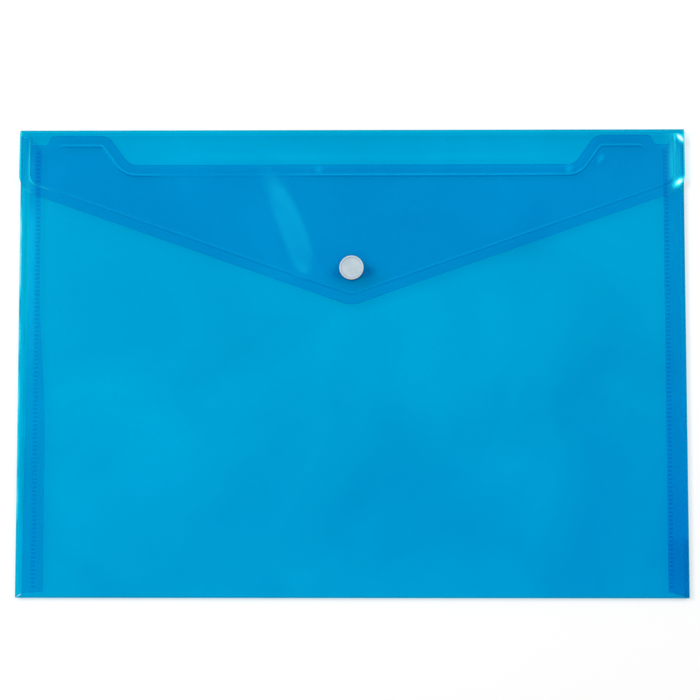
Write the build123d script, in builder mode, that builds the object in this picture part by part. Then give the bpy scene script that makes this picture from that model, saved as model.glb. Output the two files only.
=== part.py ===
"""Document wallet: one die-cut sheet of clear plastic film, folded into a pocket with a pointed
flap, welded along two side tabs and closed by a plastic press stud.

The wallet lies on its back panel. X runs across it, Y runs up to the flap's fold, Z points out
of its front. The origin is under the middle of the back panel. Lengths are in millimetres.
"""

import os
from math import acos, atan2, cos, degrees, hypot, sin, sqrt

from build123d import *

# The sheet and the pocket that it folds into
film = 0.2
wallet_width = 335.0
wallet_height = 235.0
pocket_depth = 4.4
weld_height = 0.1
mouth_clearance = 0.3
fold_end_gap = 0.3
overrun = 1.0

# Front panel: margins from the wallet's side, drops below the top fold
front_margin_low = 3.8
front_margin_high = 6.6
ledge_drop = 8.0
ledge_end = 15.0
ledge_radius = 1.6
shoulder_drop = 3.1
shoulder_start = 17.4
shoulder_end = 44.7
shoulder_radius = 2.0
mouth_drop = 17.9
mouth_start = 55.3
slope_top_radius = 7.5
slope_foot_radius = 7.0

# Flap: drops of its unrounded corners below the top fold
flap_side_drop = 30.6
flap_tip_drop = 89.9
flap_corner_radius = 11.0
flap_tip_radius = 14.0

# Pressed border line along the flap's and the mouth's edges
border_inset = 5.4
border_width = 0.9
border_height = 0.1

# Side tabs and the welds that hold the front panel to them
tab_width = 10.8
tab_peak_inset = 5.3
tab_peak_drop = 3.5
tab_outer_drop = 6.0
tab_inner_drop = 10.5
tab_foot_slant = 1.6
weld_inset = 9.3
weld_length = 2.0
weld_breadth = 1.15
weld_pitch = 2.05
weld_end_margin = 0.8

# Press stud: two caps with riveted posts, a stud on the front panel, a socket under the flap
snap_drop = 70.8
cap_radius = 6.2
cap_height = 1.0
cap_rim_width = 0.7
cap_rim_height = 0.15
cap_edge_radius = 0.3
post_radius = 1.0
post_clearance = 0.05
film_hole_clearance = 0.1
head_radius = 1.5
head_height = 0.35
head_clearance = 0.15
flange_radius = 5.25
stud_flange_height = 0.6
stud_height = 1.5
stud_neck_radius = 2.2
stud_bulge_radius = 2.45
stud_bulge_height = 0.8
stud_well_depth = 0.5
socket_flange_height = 0.6
socket_radius = 3.9
socket_lip_height = 0.4
socket_play = 0.15
socket_cavity_clearance = 0.45
socket_foot_gap = 0.35

# Crease pressed along the outside of the top fold, where the flap hinges
crease_radius = 0.05

# Levels and places that follow from the sizes above
half_width = wallet_width / 2
half_height = wallet_height / 2
front_under = film + pocket_depth
front_top = front_under + film
tab_top = front_under - weld_height
bottom_roll = front_top / 2
side_roll = tab_top / 2
top_roll = (front_top + mouth_clearance + film) / 2
back_bottom_edge = bottom_roll - half_height
back_top_edge = half_height - top_roll
back_side_edge = half_width - side_roll
snap_y = half_height - snap_drop
bore_radius = post_radius + post_clearance
film_hole_radius = post_radius + film_hole_clearance

# The flap leaves the top fold as a tangent and rises to sit on the closed press stud
snap_spacing = stud_flange_height + stud_height + head_clearance + head_height + socket_flange_height
seat_rise = front_top + snap_spacing - top_roll
seat_run = back_top_edge - snap_y
top_roll_inner = top_roll - film
flap_tilt = acos(top_roll_inner / hypot(seat_rise, seat_run)) - atan2(seat_run, seat_rise)
flap_root = sqrt(seat_rise**2 + seat_run**2 - top_roll_inner**2)
flap_plane = Plane(
    origin=(0, snap_y, front_top + snap_spacing),
    x_dir=(1, 0, 0),
    z_dir=(0, sin(flap_tilt), cos(flap_tilt)),
)
flap_axial = Plane(flap_plane.origin, x_dir=flap_plane.x_dir, z_dir=-flap_plane.y_dir)
front_axial = Plane(origin=(0, snap_y, front_top), x_dir=(1, 0, 0), z_dir=(0, -1, 0))


def rolled_film(centre, radius, start, turn):
    """Section of a fold: film bent to an outer radius about a centre."""
    with BuildSketch() as section:
        with BuildLine():
            outside = CenterArc(centre, radius, start, turn)
            inside = CenterArc(centre, radius - film, start, turn)
            Line(outside @ 0, inside @ 0)
            Line(outside @ 1, inside @ 1)
        make_face()
    return section.sketch


def border_band():
    """Keeps of the current face only a narrow band that follows its edge at the border's inset."""
    offset(amount=border_width / 2 - border_inset, kind=Kind.INTERSECTION, mode=Mode.REPLACE)
    offset(amount=-border_width, kind=Kind.INTERSECTION, mode=Mode.SUBTRACT)


# Back panel: the plain sheet that the wallet lies on
with BuildPart() as back_panel:
    with BuildSketch():
        with BuildLine():
            Polyline(
                (-back_side_edge, back_bottom_edge),
                (back_side_edge, back_bottom_edge),
                (back_side_edge, back_top_edge),
                (-back_side_edge, back_top_edge),
                close=True,
            )
        make_face()
    extrude(amount=film)

# Bottom fold: the sheet turned up and over into the front panel
bottom_section = rolled_film((back_bottom_edge, bottom_roll), bottom_roll, 90, 180)

with BuildPart() as bottom_fold:
    with BuildSketch(Plane.YZ):
        add(bottom_section)
    extrude(amount=half_width - fold_end_gap, both=True)

# Front panel: its top edge has a low ledge, a shoulder at each side and a wide cut-down mouth
front_right_edge = [
    (half_width - front_margin_low, back_bottom_edge),
    (half_width - front_margin_high, half_height - ledge_drop),
    (half_width - ledge_end, half_height - ledge_drop),
    (half_width - shoulder_start, half_height - shoulder_drop),
    (half_width - shoulder_end, half_height - shoulder_drop),
    (half_width - mouth_start, half_height - mouth_drop),
]
front_outline = front_right_edge + [(-x, y) for x, y in reversed(front_right_edge)]
front_right_radii = [0, ledge_radius, ledge_radius, shoulder_radius, slope_top_radius, slope_foot_radius]
front_radii = front_right_radii + front_right_radii[::-1]

with BuildPart() as front_panel:
    with BuildSketch(Plane.XY.offset(front_under)):
        with BuildLine():
            FilletPolyline(front_outline, radius=front_radii, close=True)
        make_face()
        with Locations((0, snap_y)):
            Circle(film_hole_radius, mode=Mode.SUBTRACT)
    extrude(amount=film)
    with BuildSketch(Plane.XY.offset(front_top)):
        with BuildLine():
            FilletPolyline(front_outline, radius=front_radii, close=True)
        make_face()
        border_band()
        with Locations((0, half_height)):
            Rectangle(
                wallet_width - 2 * shoulder_start,
                2 * (mouth_drop + border_inset + border_width),
                mode=Mode.INTERSECT,
            )
    extrude(amount=border_height)

# Side tabs: folded in under the front panel, with a gabled top end and a slanted foot
tab_foot = back_bottom_edge + fold_end_gap
tab_outline = [
    (half_width + overrun, tab_foot),
    (half_width, tab_foot),
    (half_width - tab_width, tab_foot + tab_foot_slant),
    (half_width - tab_width, half_height - tab_inner_drop),
    (half_width - tab_peak_inset, half_height - tab_peak_drop),
    (half_width, half_height - tab_outer_drop),
    (half_width + overrun, half_height - tab_outer_drop),
]

side_section = rolled_film((back_side_edge, side_roll), side_roll, -90, 180)

with BuildPart() as right_side_tab:
    with BuildSketch(Plane.XZ):
        add(side_section)
        with BuildLine():
            Polyline(
                (back_side_edge, tab_top),
                (back_side_edge, tab_top - film),
                (half_width - tab_width, tab_top - film),
                (half_width - tab_width, tab_top),
                close=True,
            )
        make_face()
    extrude(amount=half_height, both=True)
    with BuildSketch():
        with BuildLine():
            Polyline(tab_outline, close=True)
        make_face()
    extrude(amount=tab_top, mode=Mode.INTERSECT)

with BuildPart() as left_side_tab:
    mirror(right_side_tab.part, about=Plane.YZ)

# Weld rows: small pads that join the front panel to each tab
weld_low = tab_foot + tab_foot_slant + weld_end_margin
weld_high = half_height - tab_inner_drop - weld_end_margin
weld_count = int((weld_high - weld_low) / weld_pitch) + 1

with BuildPart() as right_weld_row:
    with BuildSketch(Plane.XY.offset(tab_top)):
        with Locations((half_width - weld_inset, (weld_low + weld_high) / 2)):
            with GridLocations(0, weld_pitch, 1, weld_count):
                Rectangle(weld_length, weld_breadth)
    extrude(amount=weld_height)

with BuildPart() as left_weld_row:
    mirror(right_weld_row.part, about=Plane.YZ)

# Top fold: the living hinge that carries the flap, with its crease on the outside
top_section = rolled_film((back_top_edge, top_roll), top_roll, -90, 180 - degrees(flap_tilt))

with BuildPart() as top_fold:
    with BuildSketch(Plane.YZ):
        add(top_section)
        with Locations((half_height, top_roll)):
            Circle(crease_radius, mode=Mode.SUBTRACT)
    extrude(amount=half_width, both=True)

# Flap: straight sides, rounded corners and a blunt point, set out from the press stud's centre
flap_outline = [
    (half_width, flap_root),
    (half_width, snap_drop - flap_side_drop),
    (0, snap_drop - flap_tip_drop),
    (-half_width, snap_drop - flap_side_drop),
    (-half_width, flap_root),
]
flap_radii = [0, flap_corner_radius, flap_tip_radius, flap_corner_radius, 0]
flap_root_reach = flap_root + border_inset + border_width
flap_long_outline = [(half_width, flap_root_reach)] + flap_outline[1:-1] + [(-half_width, flap_root_reach)]

with BuildPart() as flap_panel:
    with BuildSketch(flap_plane):
        with BuildLine():
            FilletPolyline(flap_outline, radius=flap_radii, close=True)
        make_face()
        Circle(film_hole_radius, mode=Mode.SUBTRACT)
    extrude(amount=film)
    with BuildSketch(flap_plane.offset(film)):
        with BuildLine():
            FilletPolyline(flap_long_outline, radius=flap_radii, close=True)
        make_face()
        border_band()
        with BuildLine():
            FilletPolyline(flap_outline, radius=flap_radii, close=True)
        make_face(mode=Mode.INTERSECT)
    extrude(amount=border_height)

# Flap cap: a flat disc with a low rim, its post riveted over inside the socket
cap_top = film + cap_height
rivet_seat = -socket_flange_height

with BuildPart() as flap_cap:
    with BuildSketch(flap_axial):
        with BuildLine():
            Polyline(
                (0, cap_top),
                (cap_radius - cap_rim_width - cap_rim_height, cap_top),
                (cap_radius - cap_rim_width, cap_top + cap_rim_height),
                (cap_radius - cap_edge_radius, cap_top + cap_rim_height),
            )
            RadiusArc(
                (cap_radius - cap_edge_radius, cap_top + cap_rim_height),
                (cap_radius, cap_top + cap_rim_height - cap_edge_radius),
                cap_edge_radius,
            )
            Polyline(
                (cap_radius, cap_top + cap_rim_height - cap_edge_radius),
                (cap_radius, film),
                (post_radius, film),
                (post_radius, rivet_seat),
                (head_radius, rivet_seat),
                (head_radius, rivet_seat - head_height),
                (0, rivet_seat - head_height),
                (0, cap_top),
            )
        make_face()
    revolve(axis=Axis(flap_axial.origin, flap_axial.y_dir))

# Flap socket: a flange against the flap and a ring whose lip springs over the stud
socket_depth = stud_height + head_clearance + head_height - socket_foot_gap
socket_foot = rivet_seat - socket_depth
lip_radius = stud_bulge_radius + socket_play
cavity_radius = stud_bulge_radius + socket_cavity_clearance

with BuildPart() as flap_socket:
    with BuildSketch(flap_axial):
        with BuildLine():
            Polyline(
                (bore_radius, 0),
                (flange_radius, 0),
                (flange_radius, rivet_seat),
                (socket_radius, rivet_seat),
                (socket_radius, socket_foot),
                (lip_radius, socket_foot),
                (lip_radius, socket_foot + socket_lip_height),
                (cavity_radius, socket_foot + socket_lip_height),
                (cavity_radius, rivet_seat),
                (bore_radius, rivet_seat),
                close=True,
            )
        make_face()
    revolve(axis=Axis(flap_axial.origin, flap_axial.y_dir))

# Pocket stud: a flange on the front panel and a bulged post with a well for the rivet head
stud_top = stud_flange_height + stud_height
bulge_middle = stud_top - stud_bulge_height / 2
bulge_foot = stud_top - stud_bulge_height
well_floor = stud_top - stud_well_depth

with BuildPart() as pocket_stud:
    with BuildSketch(front_axial):
        with BuildLine():
            Polyline(
                (bore_radius, well_floor),
                (bore_radius, 0),
                (flange_radius, 0),
                (flange_radius, stud_flange_height),
                (stud_neck_radius, stud_flange_height),
                (stud_neck_radius, bulge_foot),
            )
            ThreePointArc(
                (stud_neck_radius, bulge_foot),
                (stud_bulge_radius, bulge_middle),
                (stud_neck_radius, stud_top),
            )
            Polyline(
                (stud_neck_radius, stud_top),
                (head_radius + post_clearance, stud_top),
                (head_radius + post_clearance, well_floor),
                (bore_radius, well_floor),
            )
        make_face()
    revolve(axis=Axis(front_axial.origin, front_axial.y_dir))

# Pocket cap: the disc inside the pocket whose post rivets the stud to the front panel
with BuildPart() as pocket_cap:
    with BuildSketch(front_axial):
        with BuildLine():
            RadiusArc(
                (cap_radius - cap_edge_radius, -film - cap_height),
                (cap_radius, cap_edge_radius - film - cap_height),
                -cap_edge_radius,
            )
            Polyline(
                (cap_radius, cap_edge_radius - film - cap_height),
                (cap_radius, -film),
                (post_radius, -film),
                (post_radius, well_floor),
                (head_radius, well_floor),
                (head_radius, well_floor + head_height),
                (0, well_floor + head_height),
                (0, -film - cap_height),
                (cap_radius - cap_edge_radius, -film - cap_height),
            )
        make_face()
    revolve(axis=Axis(front_axial.origin, front_axial.y_dir))

pieces = {
    "back_panel": back_panel,
    "bottom_fold": bottom_fold,
    "front_panel": front_panel,
    "left_side_tab": left_side_tab,
    "right_side_tab": right_side_tab,
    "left_weld_row": left_weld_row,
    "right_weld_row": right_weld_row,
    "top_fold": top_fold,
    "flap_panel": flap_panel,
    "flap_cap": flap_cap,
    "flap_socket": flap_socket,
    "pocket_stud": pocket_stud,
    "pocket_cap": pocket_cap,
}

os.makedirs("parts", exist_ok=True)
for name, piece in pieces.items():
    piece.part.label = name
    export_step(piece.part, f"parts/{name}.step")

print(f"flap tilt {degrees(flap_tilt):.2f} degrees, {weld_count} welds a side, hinge height {top_roll:.2f}")
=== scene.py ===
# %% [markdown]
# # A document wallet of clear blue film
# The real wallet is one die-cut sheet of polypropylene, 0.2 mm thick. It is folded into a pocket with a
# pointed flap, its front is welded to two side tabs, and a white press stud keeps it shut. The CAD model
# gives every place and size, so this script loads it first and then dresses it: each film becomes a thin,
# gently bowed shell, and each finish is built from shader nodes.

# %% Load the frame
import math

import bpy
import numpy as np
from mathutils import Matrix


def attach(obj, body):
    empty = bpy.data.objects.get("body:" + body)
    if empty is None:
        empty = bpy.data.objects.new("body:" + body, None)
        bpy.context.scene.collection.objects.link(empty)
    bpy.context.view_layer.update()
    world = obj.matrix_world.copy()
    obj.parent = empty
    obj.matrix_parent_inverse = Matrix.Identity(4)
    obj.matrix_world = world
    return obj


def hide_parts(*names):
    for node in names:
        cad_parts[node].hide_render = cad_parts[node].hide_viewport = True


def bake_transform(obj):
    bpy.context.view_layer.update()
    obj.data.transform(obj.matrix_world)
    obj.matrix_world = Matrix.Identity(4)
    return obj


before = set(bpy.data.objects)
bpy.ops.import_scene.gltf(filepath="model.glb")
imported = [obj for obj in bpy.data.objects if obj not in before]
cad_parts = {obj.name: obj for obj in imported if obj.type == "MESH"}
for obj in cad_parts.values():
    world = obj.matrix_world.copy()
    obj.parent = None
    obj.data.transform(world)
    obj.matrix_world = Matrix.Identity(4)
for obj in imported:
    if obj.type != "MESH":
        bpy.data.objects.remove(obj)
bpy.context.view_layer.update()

# %% [markdown]
# ## The sheet's sizes
# Lengths are in millimetres, as on a die maker's drawing, and `MM` turns them into Blender's metres at the
# last moment. They repeat the CAD model's sizes, because this script reads nothing but the packed frame.

# %% Sizes of the sheet
MM = 0.001
FILM = 0.2
HALF_WIDTH, HALF_HEIGHT = 167.5, 117.5
FRONT_TOP, TAB_TOP = 4.8, 4.5
BOTTOM_ROLL, TOP_ROLL = FRONT_TOP / 2, 2.65
BACK_FOOT, BACK_HEAD = BOTTOM_ROLL - HALF_HEIGHT, HALF_HEIGHT - TOP_ROLL
SIDE_BEND = (TAB_TOP - FILM) / 2
BACK_SIDE = HALF_WIDTH - FILM / 2 - SIDE_BEND
SNAP_DROP = 70.8
SNAP_Y = HALF_HEIGHT - SNAP_DROP
BORDER_INSET = 5.4
print("back panel from y", BACK_FOOT, "to", BACK_HEAD, "mm, stud at y", round(SNAP_Y, 2), "mm")

# %% [markdown]
# ## From arrays to meshes
# Each piece is a surface over two parameters. The parameters lie on a grid, so the corners of every cell
# follow from the row and column alone, and whole arrays replace loops over points. Where two grids share an
# edge, `weld` merges the points that coincide, which closes the seam. A film's thickness comes from Solidify,
# which also closes its rim. Two curves shape nearly everything: a smooth step and a bell.

# %% Curves and grids


def fade(value, start, end):
    """Smooth step of a value, 0 at start and 1 at end: 3 t^2 - 2 t^3. The start may lie above the end."""
    t = np.clip((value - start) / (end - start), 0.0, 1.0)
    return t * t * (3.0 - 2.0 * t)


def bell(value, middle, half):
    """Bell curve exp(-t^2) with t = (value - middle) / half: 1 in the middle, nearly 0 beyond two halves."""
    return np.exp(-np.square((value - middle) / half))


def grid_cells(rows, columns, first=0):
    """Corner numbers of a grid's cells, for points stored row by row from number first."""
    corner = first + np.arange(rows - 1)[:, None] * columns + np.arange(columns - 1)
    ring = [corner, corner + 1, corner + columns + 1, corner + columns]
    return np.stack(ring, -1).reshape(-1, 4)


def ring_cells(rings, spokes, closed=False):
    """Corner numbers of the cells between rings of points. If closed, the last ring meets the first."""
    here = np.arange(rings if closed else rings - 1)[:, None] * spokes
    there = (here + spokes) % (rings * spokes)
    j = np.arange(spokes)
    k = (j + 1) % spokes
    return np.stack([here + j, there + j, there + k, here + k], -1).reshape(-1, 4)


def weld(grids):
    """Stacks grids of (points, marks) and merges points within a micron of each other."""
    points = np.concatenate([g[0].reshape(-1, 3) for g in grids])
    marks = {k: np.concatenate([g[1][k].reshape(-1) for g in grids]) for k in grids[0][1]}
    firsts = np.cumsum([0] + [g[0].shape[0] * g[0].shape[1] for g in grids])
    cells = np.concatenate([grid_cells(*g[0].shape[:2], f) for g, f in zip(grids, firsts)])
    _, keep, number = np.unique(np.round(points, 3), axis=0, return_index=True, return_inverse=True)
    return points[keep], number.reshape(-1)[cells].tolist(), {k: v[keep] for k, v in marks.items()}


print("a grid of 3 by 4 points has", len(grid_cells(3, 4)), "cells, and 3 rings of 4", len(ring_cells(3, 4)))

# %% Mesh helpers


def put_mesh(name, points, cells, marks=None):
    """Makes an object at the origin from points in mm, lists of point numbers and marks per point."""
    mesh = bpy.data.meshes.new(name)
    mesh.from_pydata((points * MM).tolist(), [], cells)
    for mark, values in (marks or {}).items():
        layer = mesh.attributes.new(mark, "FLOAT", "POINT")
        layer.data.foreach_set("value", np.asarray(values, np.float32))
    mesh.polygons.foreach_set("use_smooth", np.ones(len(mesh.polygons), bool))
    mesh.update()
    piece = bpy.data.objects.new(name, mesh)
    bpy.context.scene.collection.objects.link(piece)
    print(name, len(mesh.vertices), "points", len(mesh.polygons), "cells")
    return piece


def put_film(name, *grids):
    """A film from grids of (points, marks), with its thickness half to each side and a closed rim."""
    piece = put_mesh(name, *weld(grids))
    wall = piece.modifiers.new("film thickness", "SOLIDIFY")
    wall.thickness = FILM * MM
    wall.offset = 0.0
    wall.use_even_offset = True
    return piece


# %% [markdown]
# ## Rounded outlines
# The die cuts straight lines joined by arcs. An outline is sampled corner by corner: an arc of radius r in a
# corner that turns by an angle a starts r tan(a / 2) before the corner. Each sample also carries its inward
# normal, because the pressed border line and the fine rows near the cut edge run parallel to the outline.

# %% Outline sampler


def rounded_outline(corners, radii, step, arc_step):
    """Samples an open path with rounded corners: straight runs every step, arcs every arc_step, interior on
    the left. Returns the points, the left-hand normals and each arc's first and last sample number."""
    corners = np.asarray(corners, float)
    points, normals, arcs = [], [], []
    start = corners[0]
    count = 0
    for i in range(1, len(corners)):
        run = corners[i] - corners[i - 1]
        ahead = run / np.hypot(*run)
        left = np.array([-ahead[1], ahead[0]])
        last = i == len(corners) - 1
        setback = 0.0
        if not last:
            after = corners[i + 1] - corners[i]
            after = after / np.hypot(*after)
            turn = math.atan2(ahead[0] * after[1] - ahead[1] * after[0], float(ahead @ after))
            setback = radii[i] * math.tan(abs(turn) / 2)
        end = corners[i] - ahead * setback
        n = max(2, int(round(np.hypot(*(end - start)) / step)) + 1)
        points.append(start + (end - start) * np.linspace(0, 1, n)[:, None])
        normals.append(np.repeat(left[None], n, 0))
        count += n
        if not last:
            side = math.copysign(1.0, turn)
            centre = end + left * radii[i] * side
            m = max(3, int(round(abs(turn) * radii[i] / arc_step)) + 1)
            swing = np.linspace(0, turn, m)[1:-1]
            spoke = -left * side
            c, s = np.cos(swing), np.sin(swing)
            spokes = np.stack([c * spoke[0] - s * spoke[1], s * spoke[0] + c * spoke[1]], -1)
            points.append(centre + spokes * radii[i])
            normals.append(-spokes * side)
            arcs.append((count - 1, count + m - 2))
            count += m - 2
            start = corners[i] + after * setback
    return np.concatenate(points), np.concatenate(normals), arcs


print("a rounded corner takes", len(rounded_outline([(0, 0), (9, 0), (9, 9)], [0, 3, 0], 1, 1)[0]), "samples")

# %% [markdown]
# ## Rows and marks near a cut edge
# The cut edge shows as a thin dark line, and a fine bead is pressed 5.4 mm inside it. Both are narrower than
# a millimetre, so the rows stand close together there. Each point also carries three marks for the finish:
# `line` where the film is dark, at cuts and pressed lines and where shade is painted, a second mark for the
# painted shade of the back, which lies on the table, and a third where highlights and glints are painted
# pale.

# %% Rows and the bead
EDGE_ROWS = np.array([0, 0.12, 0.3, 0.6, 1.2, 2.2, 3.2, 4.0])
BEAD_ROWS = BORDER_INSET + np.arange(-5, 6) * 0.2
BORDER_ROWS = np.concatenate([EDGE_ROWS, BEAD_ROWS, [7.0, 8.0]])
BEAD_HEIGHT, BEAD_HALF, FLANK_HALF = 0.13, 0.45, 0.35
BAND_FADE, CUT_FADE, FAR = 0.8, 0.55, 99.0


def bead(inset):
    """Height of the pressed line in mm: a bell curve of the distance from the cut edge."""
    return BEAD_HEIGHT * bell(inset, BORDER_INSET, BEAD_HALF)


def flank(inset, away):
    """One flank of the pressed line: a bell beside the bead, on its inner side if away is 1."""
    return bell(inset, BORDER_INSET + away * BEAD_HALF, FLANK_HALF)


def border_band(inset):
    """1 between a cut edge and its pressed line, 0 beyond the line."""
    return fade(inset, BORDER_INSET, BORDER_INSET - BAND_FADE)


def cut_mark(inset):
    """1 on a cut edge, fading to 0 over half a millimetre."""
    return fade(inset, CUT_FADE, 0.0)


def streak(x, y, middle, run, half_length, half_width):
    """A pale streak: a bell along the direction run times a narrower one across it."""
    along = (x - middle[0]) * run[0] + (y - middle[1]) * run[1]
    across = (y - middle[1]) * run[0] - (x - middle[0]) * run[1]
    return bell(along, 0, half_length) * bell(across, 0, half_width)


print(len(BORDER_ROWS), "rows within", BORDER_ROWS[-1], "mm of a cut edge")

# %% [markdown]
# ## Pocket: front, bottom fold and back in one sheet
# On the real wallet the front and back are the same film, turned up at the bottom. So the pocket is one
# surface: its first parameter runs across, its second from the mouth's cut edge down the front, round the
# bottom fold and up the back. Near the mouth its rows are parallel to the edge: the edge is eroded by a disc,
# which means each row is the lowest point that a circle of that radius touches below the edge.

# %% Mouth outline
FRONT_MARGIN_LOW, FRONT_MARGIN_HIGH = 3.8, 6.6
FRONT_HALF = HALF_WIDTH - FRONT_MARGIN_HIGH
LEDGE_Y, SHOULDER_Y, MOUTH_Y = HALF_HEIGHT - 8.0, HALF_HEIGHT - 3.1, HALF_HEIGHT - 17.9
LEDGE_X, SHOULDER_X = HALF_WIDTH - 15.0, HALF_WIDTH - 17.4
SLOPE_X, MOUTH_X = HALF_WIDTH - 44.7, HALF_WIDTH - 55.3
MOUTH_RADII, DISC_SAMPLES = [0, 1.6, 2.0, 7.5, 7.0], 81
mouth_half = [(FRONT_HALF, LEDGE_Y), (LEDGE_X, LEDGE_Y), (SHOULDER_X, SHOULDER_Y),
              (SLOPE_X, SHOULDER_Y), (MOUTH_X, MOUTH_Y)]
mouth_corners = mouth_half + [(-x, y) for x, y in mouth_half[::-1]]
mouth_points, _, _ = rounded_outline(mouth_corners, MOUTH_RADII + MOUTH_RADII[::-1], step=0.4, arc_step=0.15)
mouth_points = mouth_points[np.argsort(mouth_points[:, 0])]
print("mouth edge from", mouth_points[0], "to", mouth_points[-1])


def mouth_row(x, inset):
    """Height of the row inset mm below the mouth's edge: the least of edge(x + d) - sqrt(inset^2 - d^2)."""
    d = np.linspace(-1, 1, DISC_SAMPLES) * inset
    reach = np.interp(x[:, None] + d, mouth_points[:, 0], mouth_points[:, 1])
    return np.min(reach - np.sqrt(np.maximum(inset * inset - d * d, 0)), axis=1)


# %% [markdown]
# ### A film is not a plate
# The front sags a little between its welds and the stud, and shallow waves run through it. Its side strips
# fall towards the folds, which tilts them just enough to catch a different part of the light.

# %% Sag and waves of the front
SAG, FRONT_WAVES = 0.9, [(0.22, 23, 61, 0.7), (0.16, 37, -29, 2.1)]
LEFT_DROP, RIGHT_DROP, STRIP_START, STRIP_END = 0.27, 0.2, HALF_WIDTH - 11.0, HALF_WIDTH - 2.0
FOLD_END = BACK_FOOT + 60


def slow_waves(x, y, waves):
    """Sum of shallow waves: height times sin(x / a + y / b + phase)."""
    return sum(height * np.sin(x / a + y / b + phase) for height, a, b, phase in waves)


def strip_drop(x, y):
    """Fall of a side strip towards the wallet's edge, in mm: a smooth step over its width, which dies out at
    the bottom fold and under the flap."""
    depth = np.where(x < 0, LEFT_DROP, RIGHT_DROP) * fade(np.abs(x), STRIP_START, STRIP_END)
    return depth * fade(y, BACK_FOOT, FOLD_END) * fade(y, start=84, end=68)


def front_relief(x, y):
    """How far the front stands above its flat place, in mm: waves less a sag, which die out at the welds,
    the bottom fold and the stud, less the fall of the side strips."""
    free = fade(np.abs(x), start=152, end=82) * fade(y, BACK_FOOT, FOLD_END)
    free = free * (1 - bell(np.hypot(x, y - SNAP_Y), middle=0, half=20))
    return (slow_waves(x, y, FRONT_WAVES) - SAG) * free - strip_drop(x, y)


print("front at (80, -20) mm stands at", round(float(front_relief(80.0, -20.0)), 2), "mm")

# %% Columns and rows of the pocket
COLUMN_STOPS, COLUMN_COUNTS = [0, 104, 129, 147, 154, 160], [78, 39, 8, 14, 5]
RIM_COLUMNS = [160.0, 160.3, 160.6, 160.78, FRONT_HALF]
DEEP_ROW_Y, BLEND_COUNT, FRONT_COUNT, ROLL_COUNT, BACK_COUNT = 78.0, 12, 43, 25, 18
column_runs = [np.linspace(a, b, n + 1)[:-1]
               for a, b, n in zip(COLUMN_STOPS, COLUMN_STOPS[1:], COLUMN_COUNTS)]
half_columns = np.concatenate([*column_runs, RIM_COLUMNS])
columns = np.concatenate([-half_columns[:0:-1], half_columns])
mouth_rows = np.stack([mouth_row(columns, t) for t in BORDER_ROWS])
lower = np.linspace(0, 1, BLEND_COUNT + 1)[1:, None]
blend_rows = mouth_rows[-1] * (1 - lower) + DEEP_ROW_Y * lower
front_rows = np.linspace(DEEP_ROW_Y, BACK_FOOT, FRONT_COUNT + 1)[1:, None] + 0 * columns
front_y = np.concatenate([mouth_rows, blend_rows, front_rows])
front_inset = np.concatenate([BORDER_ROWS, np.full(BLEND_COUNT + FRONT_COUNT, FAR)])[:, None]
print("front has", len(front_y), "rows of", len(columns), "points")

# %% [markdown]
# ### The front isn't centred
# This wallet was folded a little off centre: its front nearly reaches the right edge, and on the left it
# leaves a margin that widens upwards. So the columns near each side are moved outwards by a reach that
# depends on the height, and the bottom fold and the back take over from there.

# %% Front of the pocket
LEFT_REACH, RIGHT_REACH, FOOT_REACH = 1.2, 5.7, FRONT_MARGIN_HIGH - FRONT_MARGIN_LOW
side_share = np.sign(columns) * fade(np.abs(columns), start=110, end=155)
left_reach = np.interp(front_y, [BACK_FOOT, LEDGE_Y], [FOOT_REACH, LEFT_REACH])
right_reach = RIGHT_REACH * fade(front_y, start=92, end=84)
front_x = columns + side_share * np.where(columns < 0, left_reach, right_reach)
press_ends = fade(np.abs(columns), SHOULDER_X - 4.0, SHOULDER_X - 5.5)
front_z = FRONT_TOP - FILM / 2 + front_relief(front_x, front_y) + bead(front_inset) * press_ends
front = np.stack([front_x, front_y, front_z], -1)
print("front's lower corners at x", round(front_x[-1, 0], 2), "and", round(front_x[-1, -1], 2), "mm")

# %% Bottom fold and back
FOLD_REACH, BACK_REACH, FOLD_RADIUS = 6.3, BACK_SIDE - FRONT_HALF, BOTTOM_ROLL - FILM / 2
LEFT_FLARE = [FOOT_REACH, 4.1, 5.9, FOLD_REACH, 5.9, 4.3, BACK_REACH]
RIGHT_FLARE = [RIGHT_REACH, FOLD_REACH, BACK_REACH]
roll_degrees = np.linspace(90, 270, ROLL_COUNT)[1:-1, None]
roll_turn = np.radians(roll_degrees)
left_flare = np.interp(roll_degrees, np.linspace(90, 270, len(LEFT_FLARE)), LEFT_FLARE)
right_flare = np.interp(roll_degrees, np.linspace(90, 270, len(RIGHT_FLARE)), RIGHT_FLARE)
roll = np.stack(np.broadcast_arrays(
    columns + side_share * np.where(columns < 0, left_flare, right_flare),
    BACK_FOOT + FOLD_RADIUS * np.cos(roll_turn), BOTTOM_ROLL + FOLD_RADIUS * np.sin(roll_turn)), -1)
back_y = np.linspace(BACK_FOOT, BACK_HEAD, BACK_COUNT)[:, None]
back = np.stack(np.broadcast_arrays(columns + side_share * BACK_REACH, back_y, FILM / 2), -1)
print("bottom fold has", len(roll), "rows and the back", len(back))
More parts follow.
